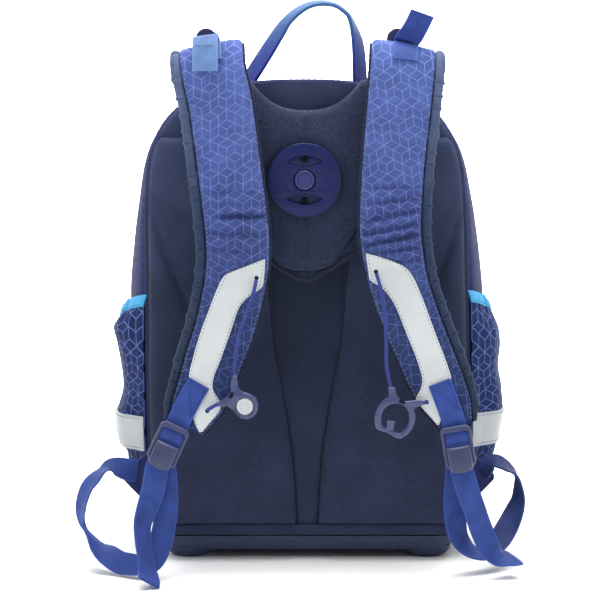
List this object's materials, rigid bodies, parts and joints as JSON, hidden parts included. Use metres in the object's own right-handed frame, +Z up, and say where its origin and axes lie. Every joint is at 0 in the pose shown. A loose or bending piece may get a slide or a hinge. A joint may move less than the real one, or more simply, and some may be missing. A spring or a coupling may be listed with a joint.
{
  "type": "ergonomic backpack",
  "caption": "Ergonomic school backpack seen from its padded back, with wide shoulder straps on an adjustable yoke, side pockets, ladder buckles and chest cords.",
  "frame": {"origin": "on the floor under the middle of the bounding box", "axes": "+Z up, -Y out of the back panel towards the wearer, +X to the right of somebody who looks at the back panel"},
  "size_m": [0.3806, 0.335, 0.4698],
  "materials": {
    "printed_cloth": "woven polyester with a printed line pattern",
    "pocket_cloth": "woven polyester with a printed line pattern",
    "navy_cloth": "smooth knitted cloth over foam",
    "mesh_cloth": "air mesh over foam",
    "slate_binding": "ribbed binding cloth over foam",
    "reflective_cloth": "glass bead reflective cloth",
    "blue_webbing": "woven webbing",
    "light_webbing": "woven webbing",
    "elastic_trim": "woven elastic",
    "disc_plastic": "moulded, fine satin",
    "buckle_plastic": "moulded, satin",
    "clip_plastic": "moulded, satin",
    "cord_braid": "braided cord",
    "white_plastic": "moulded, satin",
    "base_plastic": "moulded, fine grain",
    "screw_black": "black screw head",
    "zip_tape": "zip tape"
  },
  "bodies": {
    "root": {"side_shell": "printed_cloth", "front_panel": "printed_cloth", "strap_cover_left": "printed_cloth", "strap_cover_right": "printed_cloth", "side_pocket_left": "pocket_cloth", "side_pocket_right": "pocket_cloth", "web_wing_left": "pocket_cloth", "web_wing_right": "pocket_cloth", "back_panel": "navy_cloth", "yoke": "navy_cloth", "back_pad_left": "mesh_cloth", "back_pad_right": "mesh_cloth", "strap_pad_left": "slate_binding", "strap_pad_right": "slate_binding", "strap_patch_left": "reflective_cloth", "strap_patch_right": "reflective_cloth", "pocket_band_left": "reflective_cloth", "pocket_band_right": "reflective_cloth", "handle": "blue_webbing", "strap_tab_left": "blue_webbing", "strap_tab_right": "blue_webbing", "strap_web_left": "blue_webbing", "strap_web_right": "blue_webbing", "lifter_tab_right": "blue_webbing", "lifter_tab_left": "light_webbing", "pocket_trim_left": "elastic_trim", "pocket_trim_right": "elastic_trim", "adjuster_disc": "disc_plastic", "adjuster_medallion": "disc_plastic", "buckle_left": "buckle_plastic", "buckle_right": "buckle_plastic", "lifter_lip_left": "buckle_plastic", "lifter_lip_right": "buckle_plastic", "chest_clip_left": "clip_plastic", "chest_clip_right": "clip_plastic", "chest_cord_left": "cord_braid", "chest_cord_right": "cord_braid", "chest_button": "white_plastic", "base_tray": "base_plastic", "adjuster_screw_upper": "screw_black", "adjuster_screw_lower": "screw_black", "main_zip": "zip_tape"}
  },
  "joints": []
}
